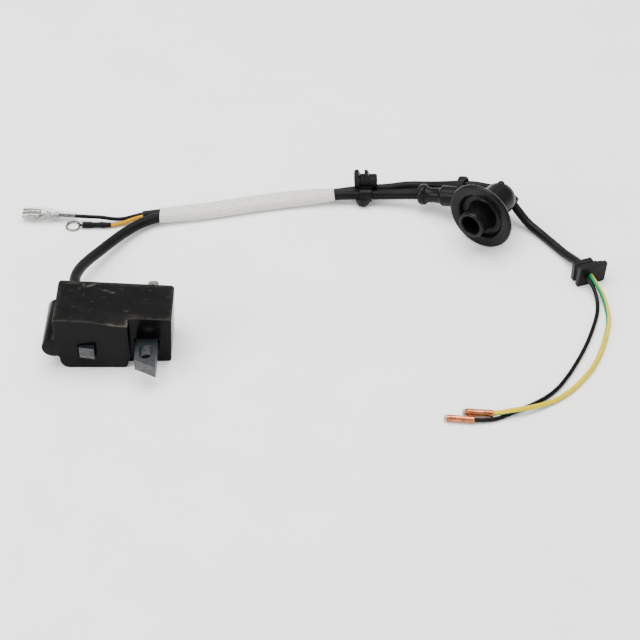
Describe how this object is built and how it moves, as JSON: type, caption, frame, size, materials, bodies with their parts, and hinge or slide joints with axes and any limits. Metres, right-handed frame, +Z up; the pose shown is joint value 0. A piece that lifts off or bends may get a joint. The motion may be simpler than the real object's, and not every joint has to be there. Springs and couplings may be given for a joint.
{
  "type": "ignition coil",
  "caption": "Flywheel ignition coil: black potted module on a laminated core, with sleeved high-tension lead, rubber spark-plug boot, harness cable, grommet and terminals.",
  "frame": {"origin": "middle of the module's footprint, without its leads, on the plane it stands on", "axes": "+Z up out of the potted face, -Y towards the flywheel that the pole faces meet, +X from the wound pole to the mounting leg"},
  "size_m": [0.2801, 0.16, 0.034],
  "materials": {
    "case_plastic": "moulded, glossy",
    "potting_epoxy": "cast, satin with dusty edges",
    "lamination_steel": "stacked sheets, ground pole faces",
    "rivet_steel": "plain",
    "bobbin_nylon": "moulded",
    "winding_copper": "enamelled wire",
    "board_laminate": "satin",
    "capacitor_film": "dipped",
    "part_epoxy": "moulded",
    "resistor_lacquer": "lacquered",
    "contact_brass": "turned",
    "tinned_strip": "tinned",
    "seal_rubber": "moulded",
    "lead_silicone": "extruded, satin",
    "sleeve_braid": "woven glass yarn",
    "clip_nylon": "moulded",
    "boot_rubber": "moulded, satin",
    "spring_steel": "drawn",
    "jacket_pvc": "extruded, satin",
    "grommet_rubber": "moulded, satin",
    "wire_black": "extruded",
    "wire_striped": "extruded, green stripe",
    "wire_amber": "extruded",
    "ferrule_copper": "crimped",
    "tinned_strands": "dip tinned",
    "terminal_tin": "stamped, tinned",
    "clear_vinyl": "clear",
    "shrink_tube": "shrunk"
  },
  "bodies": {
    "module": {"coil_case": "case_plastic", "potting_compound": "potting_epoxy", "core_stack": "lamination_steel", "core_rivets": "rivet_steel", "primary_bobbin": "bobbin_nylon", "primary_winding": "winding_copper", "secondary_bobbin": "bobbin_nylon", "secondary_winding": "winding_copper", "charge_bobbin": "bobbin_nylon", "charge_winding": "winding_copper", "circuit_board": "board_laminate", "charge_capacitor": "capacitor_film", "thyristor": "part_epoxy", "board_diodes": "part_epoxy", "board_resistors": "resistor_lacquer", "lead_spike": "contact_brass", "earth_strap": "tinned_strip", "stop_tab": "terminal_tin", "lead_seal": "seal_rubber", "ht_lead": "lead_silicone", "woven_sleeve": "sleeve_braid", "cable_clip": "clip_nylon", "plug_boot": "boot_rubber", "plug_spring": "spring_steel", "boot_pin": "contact_brass", "harness_cable": "jacket_pvc", "cable_grommet": "grommet_rubber", "black_wire": "wire_black", "striped_wire": "wire_striped", "black_ferrule": "ferrule_copper", "striped_ferrule": "ferrule_copper", "black_strands": "tinned_strands", "striped_strands": "tinned_strands", "stop_wire": "wire_black", "spade_terminal": "terminal_tin", "earth_wire": "wire_amber", "ring_terminal": "terminal_tin", "ring_shrink": "shrink_tube"},
    "cover": {"spade_cover": "clear_vinyl"}
  },
  "joints": [
    {"name": "cover_slide", "type": "slide", "parent": "module", "child": "cover", "axis": [0.9962, -0.0872, 0], "range_m": [0, 0.012]}
  ]
}
